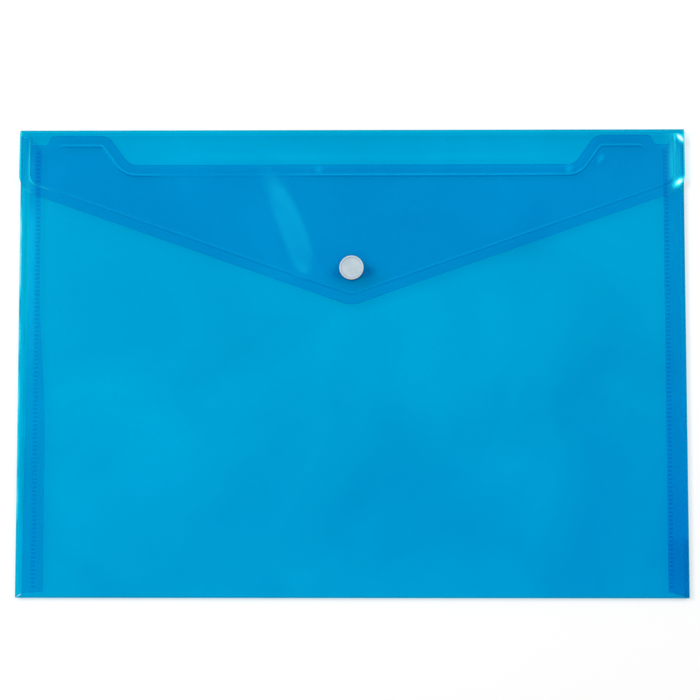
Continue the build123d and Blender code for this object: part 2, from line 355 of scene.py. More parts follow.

# %% [markdown]
# ### What the front shows
# Cut edges are dark. The pressed line has painted shade on its inner flank and a painted highlight on its
# outer flank, both fainter to the left of the middle. Where the flap leans on the mouth's edge two glints are
# painted pale, and a short painted glint stands on the right-hand slope.

# %% Marks and mesh of the pocket
CUT_SHARE, SIDE_CUT, PRESS_SHADE_SHARE, BAND_SHARE, PRESS_HIGHLIGHT_SHARE, FAINT = 0.14, 0.3, 0.24, 0.028, 0.3, 0.7
MOUTH_GLINTS, MOUTH_GLINT_WHITE = [(109.5, 1.6, 1.0), (-16.6, 1.8, 0.6)], 0.5
GLINT_AT, GLINT_RUN, GLINT_LONG, GLINT_WIDE, GLINT_WHITE = (125.3, 102.6), (0.58, 0.81), 2.2, 0.8, 0.7
faint = FAINT * fade(columns, start=-104, end=-92) * fade(columns, start=-10, end=-40)
press_shading = press_ends * (1 - faint)
side_cut = SIDE_CUT * cut_mark(FRONT_HALF - np.abs(columns))
mouth_glint_spots = sum(weight * bell(columns, place, half) for place, half, weight in MOUTH_GLINTS)
sheet = np.concatenate([front, roll, back])
line, haze, highlight = np.zeros((3, *sheet.shape[:2]))
on_front = slice(len(front))
line[on_front] = CUT_SHARE * np.maximum(cut_mark(front_inset), side_cut)
# painted shade on the pressed line's inner flank
line[on_front] += PRESS_SHADE_SHARE * flank(front_inset, 1) * press_shading
line[on_front] += BAND_SHARE * border_band(front_inset) * press_ends
# painted highlight on its outer flank, and painted glints by the mouth and on the right-hand slope
highlight[on_front] = PRESS_HIGHLIGHT_SHARE * flank(front_inset, -1) * press_shading
highlight[on_front] += MOUTH_GLINT_WHITE * bell(front_inset, middle=2.4, half=1.7) * mouth_glint_spots
highlight[on_front] += GLINT_WHITE * streak(front_x, front_y, GLINT_AT, GLINT_RUN, GLINT_LONG, GLINT_WIDE)
# painted shade on the back, for the light lost where it lies on the table
haze[len(front) + len(roll) // 2:] = 1.0
pocket_sheet = put_film("pocket_sheet", (sheet, {"line": line, "haze": haze, "highlight": highlight}))

# %% [markdown]
# ## Side tabs
# The tabs are folded in under the front, so each is a roll and a flat strip in one: the profile turns up from
# the back's edge in nearly half a circle, meets the flat at a soft crease and runs on inwards. The ends are
# die cut, with a gable at the top and a slant at the foot, so the second parameter runs between those lines.

# %% Profile of a side tab
TAB_WIDTH, TAB_PEAK, CREASE_TURN, CREASE_WIDTH = 10.8, 5.3, 68.0, 0.05
FOOT_INSETS, GABLE_INSETS = [0.0, 1.0, 2.4, TAB_WIDTH], [0.0, TAB_PEAK, TAB_WIDTH]
FOOT_RISES = {-1: [0.2, 0.9, 2.1, 3.3], 1: [0.25, 0.53, 0.93, 3.3]}
GABLE_DROPS = {-1: [3.0, 3.5, 10.5], 1: [6.0, 3.5, 10.5]}
roll_turns = np.radians(np.linspace(-90, CREASE_TURN, 25))
crease_inset = HALF_WIDTH - BACK_SIDE - SIDE_BEND * math.cos(roll_turns[-1])
flat_insets = np.concatenate([
    [crease_inset + CREASE_WIDTH], np.linspace(crease_inset + 0.5, TAB_PEAK, 8),
    np.linspace(TAB_PEAK, TAB_WIDTH - 0.6, 9)[1:], TAB_WIDTH - np.array([0.3, 0.12, 0.0])])
profile_x = np.concatenate([BACK_SIDE + SIDE_BEND * np.cos(roll_turns), HALF_WIDTH - flat_insets])
profile_inset = HALF_WIDTH - profile_x
rolled = np.arange(len(profile_x)) < len(roll_turns)
profile_turn = np.concatenate([roll_turns, np.full(len(flat_insets), roll_turns[-1])])
climb = (1 + np.sin(profile_turn)) / (1 + np.sin(roll_turns[-1]))
tab_run = np.concatenate([[0, 0.0007, 0.002], np.linspace(0.006, 0.994, 120), [0.998, 0.9993, 1]])
print("tab profile has", len(profile_x), "points, crease", round(crease_inset, 2), "mm from the edge")

# %% [markdown]
# ### Marks of the tabs
# The rolls are painted darker than the flats, because light crosses them at a slant. On the left, glints are
# painted white along the fold's crown, and the strip beside it is darker in its upper half. The right tab
# carries painted shade, a little darker and more so upwards, and it is darker again at its foot.

# %% Marks of a side tab
TAB_CUT, ROLL_SHARE, CROWN_GLINT_WHITE = 0.4 * CUT_SHARE, {-1: 0.10, 1: 0.09}, 0.66
LEFT_UPPER_SHARE, GABLE_SHARE, RIGHT_FOOT_SHARE, RIGHT_SHADE_SHARE, RIGHT_HIGH_SHADE_SHARE = 0.03, 0.02, 0.06, 0.02, 0.03
LEFT_FOLD_GLINTS = np.array([(68, 8, 1.0), (52, 9, 0.9), (40, 6, 0.75), (13, 7, 0.7), (-18, 10, 0.8),
                     (-44, 8, 0.5), (-68, 8, 0.8)])


def tab_marks(side, y, low, high):
    """Marks of a tab: dark cuts and a dark roll, and then what is special to its side."""
    inset = profile_inset[:, None]
    free = np.where(rolled, FAR, TAB_WIDTH - profile_inset)[:, None]
    line = TAB_CUT * cut_mark(np.minimum(np.minimum(y - low, high - y), free))
    line = line + ROLL_SHARE[side] * fade(inset, start=3.4, end=1.8)
    if side > 0:
        # the right tab is darker at its foot, and carries painted shade all over, more so upwards
        line = line + RIGHT_FOOT_SHARE * fade(y, start=-86, end=-91)
        line = line + RIGHT_SHADE_SHARE + RIGHT_HIGH_SHADE_SHARE * fade(y, start=-20, end=50)
        return {"line": line, "haze": 0 * y, "highlight": 0 * y}
    line = line + LEFT_UPPER_SHARE * fade(inset, start=7.5, end=5) * fade(y, start=5, end=35)
    line = line + GABLE_SHARE * fade(y, start=90, end=98)
    # painted glints, white along the crown of the left fold
    crown_glint = CROWN_GLINT_WHITE * rolled * bell(np.degrees(profile_turn), middle=46, half=18)
    places, halves, whites = LEFT_FOLD_GLINTS.T
    glint_spots = (whites * bell(y[..., None], places, halves)).sum(-1)
    return {"line": line, "haze": 0 * y, "highlight": crown_glint[:, None] * np.minimum(glint_spots, 1.0)}


print("left fold has painted glints in", len(LEFT_FOLD_GLINTS), "places")

# %% Side tab surfaces
FOOT_WIDENS = {-1: 3.4, 1: 0.0}


def side_tab(name, side):
    """A side tab: the profile at x on the right, or mirrored to the left with its rows turned round. The
    roll climbs as 1 + sin(turn) to the height of the flat, and the left tab widens towards its foot."""
    low = (np.interp(profile_inset, FOOT_INSETS, FOOT_RISES[side]) - HALF_HEIGHT)[:, None]
    high = (HALF_HEIGHT - np.interp(profile_inset, GABLE_INSETS, GABLE_DROPS[side]))[:, None]
    y = low + (high - low) * tab_run
    widens = FOOT_WIDENS[side] * fade(profile_inset, start=3.0, end=TAB_WIDTH) * ~rolled
    x = side * (profile_x[:, None] - widens[:, None] * fade(y, start=40, end=-40))
    crest = TAB_TOP - FILM - strip_drop(np.where(rolled[:, None], side * BACK_SIDE, x), y)
    points = np.stack([x, y, FILM / 2 + crest * climb[:, None]], -1)
    marks = tab_marks(side, y, low, high)
    return put_film(name, (points[::side], {k: v[::side] for k, v in marks.items()}))


right_tab = side_tab("right_tab", 1)
left_tab = side_tab("left_tab", -1)

# %% [markdown]
# ## Weld marks
# A heated comb melts front and tab together in a row of short dashes. Each mark is a small pillow, a rounded
# oblong drawn as a superellipse, and one array holds them all.

# %% Weld rows
WELD_INSET, WELD_LENGTH, WELD_BREADTH, WELD_PITCH, WELD_SPOKES = 9.3, 2.0, 1.15, 2.05, 12
WELD_LOW, WELD_HIGH = BACK_FOOT + 2.7, HALF_HEIGHT - 11.3
WELD_SWELLS, WELD_LEVELS = np.array([0.86, 1.0, 1.0, 0.8]), np.array([4.36, 4.44, 4.68, 4.78])
weld_count = int((WELD_HIGH - WELD_LOW) / WELD_PITCH) + 1
weld_places = (WELD_LOW + WELD_HIGH) / 2 + (np.arange(weld_count) - (weld_count - 1) / 2) * WELD_PITCH


def weld_row(name, side):
    """A row of pillows: |x / a|^4 + |y / b|^4 = 1 on rings of spokes at four heights, with two end faces."""
    angle = np.linspace(0, 2 * np.pi, WELD_SPOKES, endpoint=False)
    bulge = (np.cos(angle) ** 4 + np.sin(angle) ** 4) ** -0.25
    x = side * (HALF_WIDTH - WELD_INSET) + WELD_SWELLS[:, None] * (np.cos(angle) * bulge * WELD_LENGTH / 2)
    y = weld_places[:, None, None] + WELD_SWELLS[:, None] * (np.sin(angle) * bulge * WELD_BREADTH / 2)
    points = np.stack(np.broadcast_arrays(x, y, WELD_LEVELS[:, None]), -1).reshape(-1, 3)
    wall = ring_cells(len(WELD_LEVELS), WELD_SPOKES)[:, [0, 3, 2, 1]]
    foot = np.arange(WELD_SPOKES)
    head = foot + (len(WELD_LEVELS) - 1) * WELD_SPOKES
    firsts = np.arange(weld_count)[:, None] * len(WELD_LEVELS) * WELD_SPOKES
    cells = (firsts[:, None] + wall).reshape(-1, 4).tolist()
    return put_mesh(name, points, cells + (firsts + head).tolist() + (firsts + foot[::-1]).tolist())


right_welds = weld_row("right_welds", 1)
left_welds = weld_row("left_welds", -1)

# %% [markdown]
# ## Flap and top fold in one sheet
# The flap hangs on a living hinge: the same film, rolled over the top. It lies at a slant, from the top of
# the roll down to the seat of the press stud, so it gets coordinates of its own: across, towards the hinge,
# and out of its underside.

# %% Flap plane
SNAP_SPACING = 3.2
seat_rise = FRONT_TOP + SNAP_SPACING - TOP_ROLL
seat_run = BACK_HEAD - SNAP_Y
roll_inner = TOP_ROLL - FILM
FLAP_TILT = math.acos(roll_inner / math.hypot(seat_rise, seat_run)) - math.atan2(seat_run, seat_rise)
FLAP_ROOT = math.sqrt(seat_rise ** 2 + seat_run ** 2 - roll_inner ** 2)
FLAP_SEAT = np.array([0.0, SNAP_Y, FRONT_TOP + SNAP_SPACING])
FLAP_UP = np.array([0.0, math.cos(FLAP_TILT), -math.sin(FLAP_TILT)])
FLAP_OUT = np.array([0.0, math.sin(FLAP_TILT), math.cos(FLAP_TILT)])
print("flap tilt", round(math.degrees(FLAP_TILT), 2), "degrees, root", round(FLAP_ROOT, 2), "mm from stud")


def on_flap(x, y, height):
    """Points of the frame from flap coordinates."""
    return (FLAP_SEAT + x[..., None] * np.array([1.0, 0, 0]) + y[..., None] * FLAP_UP
            + height[..., None] * FLAP_OUT)


# %% [markdown]
# ### A pleat that stays clear of the table
# The flap was bent once by hand: a slanting pleat to the left of the stud catches the lamp in a long pale
# streak. A tall pleat would show it best, but when the flap lies open on a table there is hardly any room
# beneath it near the hinge. So the pleat stands half above and half below the flap's plane, and its height
# follows the room that is left, which grows from the hinge to the stud.

# %% Relief of the flap
FLAP_WAVES = [(0.25, 27, 31, 1.2), (0.15, 15, -40, 0.0)]
DENTS = [(39, 18, 1.4, 3.5, 0.6), (69, 20, 1.3, 4.5, 0.5)]
DIMPLE, TIP_DROOP, LEFT_DROOP, RIGHT_DROOP = 0.35, 0.7, 0.15, 0.5
PLEAT_X, PLEAT_SLANT, PLEAT_HEIGHT, PLEAT_FILL = 21.8, 0.385, 3.4, 1.7
HINGE_ROOM, ROOM_SLOPE = 0.24, 0.045


def pleat_place(x, y):
    """Distance across the flap's slanting pleat, and how strong the pleat is there, from 0 to 1."""
    return x + PLEAT_X + PLEAT_SLANT * y, fade(y, start=66, end=50) * fade(y, start=-14, end=4)


def flap_relief(x, y):
    """How far the flap bows from its plane, in mm: slow waves, a dimple round the stud, a drooping tip and
    sides, one pleat that rises and eases off on both sides, and two dents. All die out at the hinge."""
    away = np.hypot(x, y)
    dimple = DIMPLE * bell(away, middle=12, half=6)
    tip = TIP_DROOP * fade(y, start=-4, end=-18)
    droop = np.where(x < 0, LEFT_DROOP, RIGHT_DROOP) * fade(np.abs(x), HALF_WIDTH - 9, HALF_WIDTH - 2)
    across, strength = pleat_place(x, y)
    pleat = fade(across, -11, 11) - 0.5 * fade(across, -55, -11) - 0.5 * fade(across, 11, 51)
    room = HINGE_ROOM + ROOM_SLOPE * (FLAP_ROOT - y)
    pleat = pleat * np.minimum(PLEAT_FILL * room, PLEAT_HEIGHT) * strength
    dents = sum(rise * bell(np.hypot(x - mid_x, (y - mid_y) / tall), 0, size)
                for mid_x, mid_y, tall, size, rise in DENTS)
    bowed = (slow_waves(x, y, FLAP_WAVES) + pleat + dents) * (1 - bell(away, middle=0, half=11))
    return (bowed - dimple - tip - droop) * fade(FLAP_ROOT - y, start=0, end=18)


print("flap's tip bows by", round(float(flap_relief(0.0, -18.0)), 2), "mm")

# %% [markdown]
# ### Pale and dark places of the flap
# At two corners of the right side white glints are painted, and between them a painted sheen and a bright
# line run along the edge. Round the stud a shadow is painted, deeper on both sides of the cap.

# %% Creases and shades of the flap
CORNER_GLINTS, CORNER_GLINT_LONG, CORNER_GLINT_WIDE = [((165.4, 66.0), (0.66, -0.75)), ((164.4, 43.5), (0.78, 0.63))], 2.9, 1.25
EDGE_SHEENS = [(0.045, 1.4, 2.2, 7.4), (0.055, 4.4, 6.0, 7.6), (0.05, 6.6, 7.4, 11.6)]
EDGE_SHEEN_FADE, EDGE_GLINT_LINE, PLEAT_SHEEN, STUD_SHADOW_SHARE = 0.8, 0.07, 0.016, 0.16
STUD_SHADES = [(0.26, 8.2, 4.2, -2.2, 3.0), (0.14, -8.0, 4.6, -3.4, 3.2)]


def flap_highlights(x, y):
    """Painted light: glints at two corners, a sheen and bright line at the right edge, a sheen on the pleat.
    """
    glint_spots = sum(streak(x, y, middle, run, CORNER_GLINT_LONG, CORNER_GLINT_WIDE) for middle, run in CORNER_GLINTS)
    inset = HALF_WIDTH - x
    strip = EDGE_GLINT_LINE * bell(inset, middle=5.2, half=0.45)
    for pale, near, full, far in EDGE_SHEENS:
        strip = strip + pale * fade(inset, near, full) * fade(inset, far, far - EDGE_SHEEN_FADE)
    across, strength = pleat_place(x, y)
    pleat_sheen_mask = PLEAT_SHEEN * bell(across, middle=0, half=9) * strength
    return np.maximum(glint_spots, strip * fade(y, start=38, end=46)) + pleat_sheen_mask


def stud_shadow(x, y):
    """Painted shadow round the stud: a bell curve of the distance from its rim, and one shade on each side.
    """
    shades = sum(share * bell(x, mid_x, wide) * bell(y, mid_y, tall)
                 for share, mid_x, wide, mid_y, tall in STUD_SHADES)
    return STUD_SHADOW_SHARE * bell(np.hypot(x, y), middle=5.6, half=3.0) + shades


print("dark share beside the stud", round(float(stud_shadow(8.2, -2.2)), 3))

# %% [markdown]
# ### Three grids for one flap
# The flap's rows near the cut edge run parallel to it, all the way round the V and up the sides, so the
# pressed line is followed exactly. Three grids share their edges: the border, whose rows are the outline
# moved inwards along its normals, the field, whose columns run straight up to the hinge, and the roll, whose
# columns are the same ones, bent over.

# %% Flap edge
FLAP_SIDE_Y, FLAP_TIP_Y = SNAP_DROP - 30.6, SNAP_DROP - 89.9
FLAP_RADII, SIDE_ROWS = [0, 11.0, 14.0, 11.0, 0], 34
flap_corners = [(-HALF_WIDTH, FLAP_ROOT), (-HALF_WIDTH, FLAP_SIDE_Y), (0, FLAP_TIP_Y),
                (HALF_WIDTH, FLAP_SIDE_Y), (HALF_WIDTH, FLAP_ROOT)]
flap_edge, flap_normal, flap_arcs = rounded_outline(flap_corners, FLAP_RADII, step=1.6, arc_step=0.7)
corner_in, corner_out = flap_arcs[0][0], flap_arcs[2][1]
side_share_up = np.linspace(1, 0, SIDE_ROWS)
side_low = flap_edge[corner_in][1]
side_y = side_low + (FLAP_ROOT - side_low) * side_share_up
left_side = np.stack([np.full(SIDE_ROWS, -HALF_WIDTH), side_y], -1)
right_side = left_side[::-1] * [-1, 1]
edge = np.concatenate([left_side, flap_edge[corner_in + 1:corner_out], right_side])
side_normal = np.tile([1.0, 0.0], (SIDE_ROWS, 1))
edge_normal = np.concatenate([side_normal, flap_normal[corner_in + 1:corner_out], -side_normal])
print("flap's edge has", len(edge), "points")

# %% Flap border
FLAP_CUT_SHARE, FLAP_PRESS_SHADE_SHARE, FLAP_BAND_SHARE, FLAP_PRESS_HIGHLIGHT_SHARE = 0.10, 0.16, 0.012, 0.05
LEFT_BEAD, LEFT_SHARE, LEFT_CUT_SHARE, TIP_CUT_SHARE, TIP_PALE_SHARE = 0.12, 0.05, 0.22, 0.16, 0.03
border = edge[None] + BORDER_ROWS[:, None, None] * edge_normal[None]
border_x, border_y = border[..., 0], border[..., 1]
inset = BORDER_ROWS[:, None]
border_bead = bead(inset) * fade(FLAP_ROOT - border_y, start=0, end=4)
border_bead = border_bead * (LEFT_BEAD + (1 - LEFT_BEAD) * fade(border_x, start=-160, end=-150))
border_points = on_flap(border_x, border_y, FILM / 2 + flap_relief(border_x, border_y) + border_bead)
at_tip, at_left = bell(border_x, middle=0, half=18), fade(border_x, start=-156, end=-160)
cut_share = FLAP_CUT_SHARE + TIP_CUT_SHARE * at_tip + LEFT_CUT_SHARE * at_left
# painted shade on the pressed line's outer flank, and the stud's painted shadow
border_line = cut_share * cut_mark(inset) + FLAP_PRESS_SHADE_SHARE * flank(inset, -1) + LEFT_SHARE * at_left
border_line = border_line + FLAP_BAND_SHARE * border_band(inset) + stud_shadow(border_x, border_y)
# painted highlight on the pressed line's inner flank
border_highlight = FLAP_PRESS_HIGHLIGHT_SHARE * flank(inset, 1) * fade(border_x, start=-163, end=-155)
border_highlight = border_highlight + TIP_PALE_SHARE * border_band(inset) * at_tip
border_all_highlights = np.maximum(border_highlight, flap_highlights(border_x, border_y))
border_marks = {"line": border_line, "haze": 0 * border_x, "highlight": border_all_highlights}
print("flap's border has", border_x.size, "points")

# %% Flap field, hinge and mesh
HINGE_ROWS, HINGE_CREASE = 33, 0.07
inner = border[-1, SIDE_ROWS - 1:len(edge) - SIDE_ROWS + 1]
field_x = np.broadcast_to(inner[:, 0], (SIDE_ROWS, len(inner)))
field_y = inner[:, 1] + (FLAP_ROOT - inner[:, 1]) * side_share_up[::-1][:, None]
field_points = on_flap(field_x, field_y, FILM / 2 + flap_relief(field_x, field_y))
field_marks = {"line": stud_shadow(field_x, field_y), "haze": 0 * field_y,
               "highlight": flap_highlights(field_x, field_y)}
hinge_x = np.concatenate([border_x[:-1, 0], field_x[-1], border_x[:-1, -1][::-1]])
hinge_turn = np.linspace(0.5 * math.pi - FLAP_TILT, -0.5 * math.pi, HINGE_ROWS)[:, None]
hinge_radius = TOP_ROLL - FILM / 2 - HINGE_CREASE * bell(hinge_turn, middle=0, half=0.12)
hinge_y = BACK_HEAD + hinge_radius * np.cos(hinge_turn)
hinge_z = TOP_ROLL + hinge_radius * np.sin(hinge_turn)
hinge_points = np.stack(np.broadcast_arrays(hinge_x, hinge_y, hinge_z), -1)
hinge_cut = FLAP_CUT_SHARE * cut_mark(HALF_WIDTH - np.abs(hinge_x))
# a painted shade line along the crease of the top fold
hinge_marks = {"line": hinge_cut + PRESS_SHADE_SHARE * bell(hinge_turn, middle=0, half=0.1),
               "haze": (hinge_turn < 0) + 0 * hinge_x, "highlight": 0 * hinge_turn + 0 * hinge_x}
flap_sheet = put_film(
    "flap_sheet", (border_points, border_marks), (field_points, field_marks), (hinge_points, hinge_marks))

# %% [markdown]
# ## Press stud
# The stud is four moulded pieces. Each is a turned shape: a profile of radius and height, swung round the
# stud's axis.

# %% Turned shapes


def turned(name, seat, out, profile, spokes=72):
    """Solid of revolution: radius r(s) and height h(s) along the profile, swung round the axis out of seat.
    A profile that starts and ends on the axis is closed by fans, and any other profile is a closed ring."""
    r, h = np.asarray(profile, float).T
    across = np.array([1.0, 0.0, 0.0])
    up = np.cross(out, across)
    angle = np.linspace(0, 2 * np.pi, spokes, endpoint=False)
    poles = r[0] == 0
    ring_r, ring_h = (r[1:-1], h[1:-1]) if poles else (r, h)
    rim = np.cos(angle)[:, None] * across + np.sin(angle)[:, None] * up
    points = (seat + ring_r[:, None, None] * rim + ring_h[:, None, None] * out).reshape(-1, 3)
    cells = ring_cells(len(ring_r), spokes, closed=not poles).tolist()
    if poles:
        first, end = len(points), len(points) - spokes
        points = np.concatenate([points, [seat + h[0] * out, seat + h[-1] * out]])
        j = np.arange(spokes)
        k = (j + 1) % spokes
        cells += np.stack([np.full(spokes, first), j, k], -1).tolist()
        cells += np.stack([end + j, np.full(spokes, first + 1), end + k], -1).tolist()
    return put_mesh(name, points, cells)


def arc(centre, radius, start, end, count=7):
    """Points of a circular arc between two angles in degrees, in radius and height."""
    a = np.radians(np.linspace(start, end, count))
    return np.stack([centre[0] + radius * np.cos(a), centre[1] + radius * np.sin(a)], -1).tolist()


# %% Flap's cap
CAP_RADIUS, CAP_HEIGHT, CAP_RIM, CAP_EDGE, RIM_HEIGHT, CAP_FOOT = 6.05, 1.0, 0.7, 0.3, 0.15, 0.2
POST_RADIUS, HEAD_RADIUS, HEAD_HEIGHT, HEAD_EDGE = 1.0, 1.5, 0.35, 0.15
FLANGE_RADIUS, FLANGE_HEIGHT = 5.25, 0.6
CAP_BOWL = [(0, 0.02), (1.2, 0.015), (2.6, 0.0), (4.0, -0.02)]
CAP_STEP = [(-0.3, -0.02), (-0.1, 0.03), (0.08, 0.13)]
cap_face, rim_foot = FILM + CAP_HEIGHT, CAP_RADIUS - CAP_RIM
cap_profile = (
    [[r, cap_face + h] for r, h in CAP_BOWL] + [[rim_foot + r, cap_face + h] for r, h in CAP_STEP]
    + arc((CAP_RADIUS - CAP_EDGE, cap_face + RIM_HEIGHT - CAP_EDGE), CAP_EDGE, 90, 0)
    + [[CAP_RADIUS, FILM + 0.25]] + arc((CAP_RADIUS - CAP_FOOT, FILM + CAP_FOOT), CAP_FOOT, 0, -90, 5)
    + [[POST_RADIUS, FILM], [POST_RADIUS, -FLANGE_HEIGHT], [HEAD_RADIUS, -FLANGE_HEIGHT]]
    + arc((HEAD_RADIUS - HEAD_EDGE, -FLANGE_HEIGHT - HEAD_HEIGHT + HEAD_EDGE), HEAD_EDGE, 0, -90, 4)
    + [[0, -FLANGE_HEIGHT - HEAD_HEIGHT]])
flap_button = turned("flap_button", FLAP_SEAT, FLAP_OUT, cap_profile, 96)

# %% Socket under the flap
BORE_RADIUS, SOCKET_RADIUS, SOCKET_FOOT, SOCKET_EDGE = 1.05, 3.9, -2.25, 0.2
LIP_RADIUS, LIP_HEIGHT, LIP_STEP, CAVITY_RADIUS, FINE_EDGE, LIP_EDGE = 2.6, 0.4, 0.05, 2.9, 0.1, 0.12
socket_profile = (
    [[BORE_RADIUS, 0], [FLANGE_RADIUS - FINE_EDGE, 0], [FLANGE_RADIUS, -FINE_EDGE]]
    + [[FLANGE_RADIUS, -FLANGE_HEIGHT + LIP_EDGE], [FLANGE_RADIUS - LIP_EDGE, -FLANGE_HEIGHT]]
    + [[SOCKET_RADIUS + FINE_EDGE, -FLANGE_HEIGHT], [SOCKET_RADIUS, -FLANGE_HEIGHT - FINE_EDGE]]
    + [[SOCKET_RADIUS, SOCKET_FOOT + SOCKET_EDGE], [SOCKET_RADIUS - SOCKET_EDGE, SOCKET_FOOT]]
    + [[LIP_RADIUS + LIP_EDGE, SOCKET_FOOT], [LIP_RADIUS, SOCKET_FOOT + LIP_EDGE]]
    + [[LIP_RADIUS, SOCKET_FOOT + LIP_HEIGHT], [CAVITY_RADIUS, SOCKET_FOOT + LIP_HEIGHT + LIP_STEP]]
    + [[CAVITY_RADIUS, -FLANGE_HEIGHT], [BORE_RADIUS, -FLANGE_HEIGHT]])
flap_ring = turned("flap_ring", FLAP_SEAT, FLAP_OUT, socket_profile)

# %% Stud and inner cap
FRONT_SEAT, FRONT_OUT = np.array([0.0, SNAP_Y, FRONT_TOP]), np.array([0.0, 0.0, 1.0])
STUD_TOP, NECK_RADIUS, BULGE_RADIUS, BULGE_HEIGHT, STUD_EDGE = 2.1, 2.2, 2.45, 0.8, 0.15
WELL_FLOOR, WELL_RADIUS = 1.6, 1.55
bulge = [[NECK_RADIUS + (BULGE_RADIUS - NECK_RADIUS) * math.cos(math.pi * b),
          STUD_TOP - BULGE_HEIGHT / 2 + BULGE_HEIGHT * b] for b in np.linspace(-0.5, 0.5, 9)]
stud_profile = (
    [[BORE_RADIUS, WELL_FLOOR], [BORE_RADIUS, 0], [FLANGE_RADIUS - FINE_EDGE, 0], [FLANGE_RADIUS, FINE_EDGE]]
    + [[FLANGE_RADIUS, FLANGE_HEIGHT - STUD_EDGE], [FLANGE_RADIUS - STUD_EDGE, FLANGE_HEIGHT]]
    + [[NECK_RADIUS + STUD_EDGE, FLANGE_HEIGHT], [NECK_RADIUS, FLANGE_HEIGHT + STUD_EDGE]]
    + bulge + [[WELL_RADIUS, STUD_TOP], [WELL_RADIUS, WELL_FLOOR]])[::-1]
pocket_knob = turned("pocket_knob", FRONT_SEAT, FRONT_OUT, stud_profile)

head_top, inner_face = WELL_FLOOR + HEAD_HEIGHT, -FILM - CAP_HEIGHT
inner_profile = (
    [[0, head_top], [HEAD_RADIUS - LIP_EDGE, head_top], [HEAD_RADIUS, head_top - LIP_EDGE]]
    + [[HEAD_RADIUS, WELL_FLOOR], [POST_RADIUS, WELL_FLOOR], [POST_RADIUS, -FILM]]
    + [[CAP_RADIUS - STUD_EDGE, -FILM], [CAP_RADIUS, -FILM - STUD_EDGE]]
    + arc((CAP_RADIUS - CAP_EDGE, inner_face + CAP_EDGE), CAP_EDGE, 0, -90)
    + [[4.0, inner_face], [2.0, inner_face], [0, inner_face]])
pocket_button = turned("pocket_button", FRONT_SEAT, FRONT_OUT, inner_profile)

# %% [markdown]
# ## Shader sums in Python
# A finish is a web of shader nodes. `Wire` wraps a socket, so that sums on masks can be written as sums: each
# operator adds one Math node. Its method `node` adds any other node.

# %% Wire


class Wire:
    """A shader socket that can be reckoned with."""

    def __init__(self, tree, socket=None):
        self.tree = tree
        self.socket = socket

    def node(self, kind, settings=None, inputs=None, output=0):
        """Adds a node: type without its prefix, settings, values or wires of its sockets, and its output."""
        made = self.tree.nodes.new("ShaderNode" + kind)
        for key, value in (settings or {}).items():
            setattr(made, key, value)
        for key, value in (inputs or {}).items():
            if isinstance(value, Wire):
                self.tree.links.new(value.socket, made.inputs[key])
            else:
                made.inputs[key].default_value = value
        return Wire(self.tree, made.outputs[output] if made.outputs else None)

    def sum(self, operation, first, second):
        """A Math node on two values or wires."""
        return self.node("Math", {"operation": operation}, {0: first, 1: second})

    def __add__(self, other):
        return self.sum("ADD", self, other)

    def __sub__(self, other):
        return self.sum("SUBTRACT", self, other)

    def __rsub__(self, other):
        return self.sum("SUBTRACT", other, self)

    def __mul__(self, other):
        return self.sum("MULTIPLY", self, other)

    def __pow__(self, other):
        return self.sum("POWER", self, other)

    __radd__, __rmul__ = __add__, __mul__

    def between(self, low, high):
        """0 below low, 1 above high, smooth between."""
        return self.node("MapRange", {"interpolation_type": "SMOOTHSTEP"},
                         {"Value": self, "From Min": low, "From Max": high})

    def mix(self, start, end):
        """A colour between start and end by this mask."""
        return self.node("Mix", {"data_type": "RGBA"}, {"Factor": self, 6: start, 7: end}, output=2)

    def noise(self, scale, detail, distortion=0.0):
        """Noise from 0 to 1 over this place."""
        return self.node("TexNoise", inputs={
            "Vector": self, "Scale": scale, "Detail": detail, "Distortion": distortion}, output="Fac")


def new_finish(name):
    """An empty material and a wire into its node tree."""
    material = bpy.data.materials.new(name)
    material.use_nodes = True
    material.node_tree.nodes.clear()
    return material, Wire(material.node_tree)


print("a wire's methods:", [name for name in vars(Wire) if not name.startswith("_")])

# %% [markdown]
# ## Blue film
# Clear film does three things to light. It lets most of it through with a blue tint, it scatters a little
# inside, and it mirrors a little at its skin. A Transparent shader gives the tint: two skins a film, so each
# skin takes the square root of the film's tint, and layers darken as the real ones do. A Principled shader
# gives scatter and gloss. The share between the two grows with the mesh's marks, painted shade and highlights
# among them, with clouds, scratches, specks, painted shade towards the lower right and a grazing view. Film
# under the front is a little clearer and welded film denser, so the same web makes three finishes.

# %% Film finish
FILM_TINT, TAB_TINT = (0.002, 0.80, 0.953), (0.002, 0.85, 0.97)
HAZE_BLUE, PALE_BLUE = (0.0, 0.22, 0.62, 1.0), (0.02, 0.66, 0.86, 1.0)
SHADE_BLUE, BACK_SHADE_BLUE = (0.0, 0.06, 0.74, 1.0), (0.0, 0.10, 0.32, 1.0)
DEEP_BLUE, HIGHLIGHT_WHITE = (0.0, 0.06, 0.34, 1.0), (0.86, 0.93, 0.97, 1.0)
GLOSS_TINT = (0.03, 0.95, 0.66, 1.0)
BACK_SHADE_SHARE, HIGHLIGHT_SHARE, CLOUD_SHARE, SCRATCH_SHARE, SPECK_SHARE = 0.12, 0.9, 0.11, 0.015, 0.25
LINE_DEPTH, HIGHLIGHT_PALE, SCRATCH_PALE, SCRATCH_DEPTH, GRAZING_POWER = 4.0, 8.0, 0.3, 0.2, 2.5


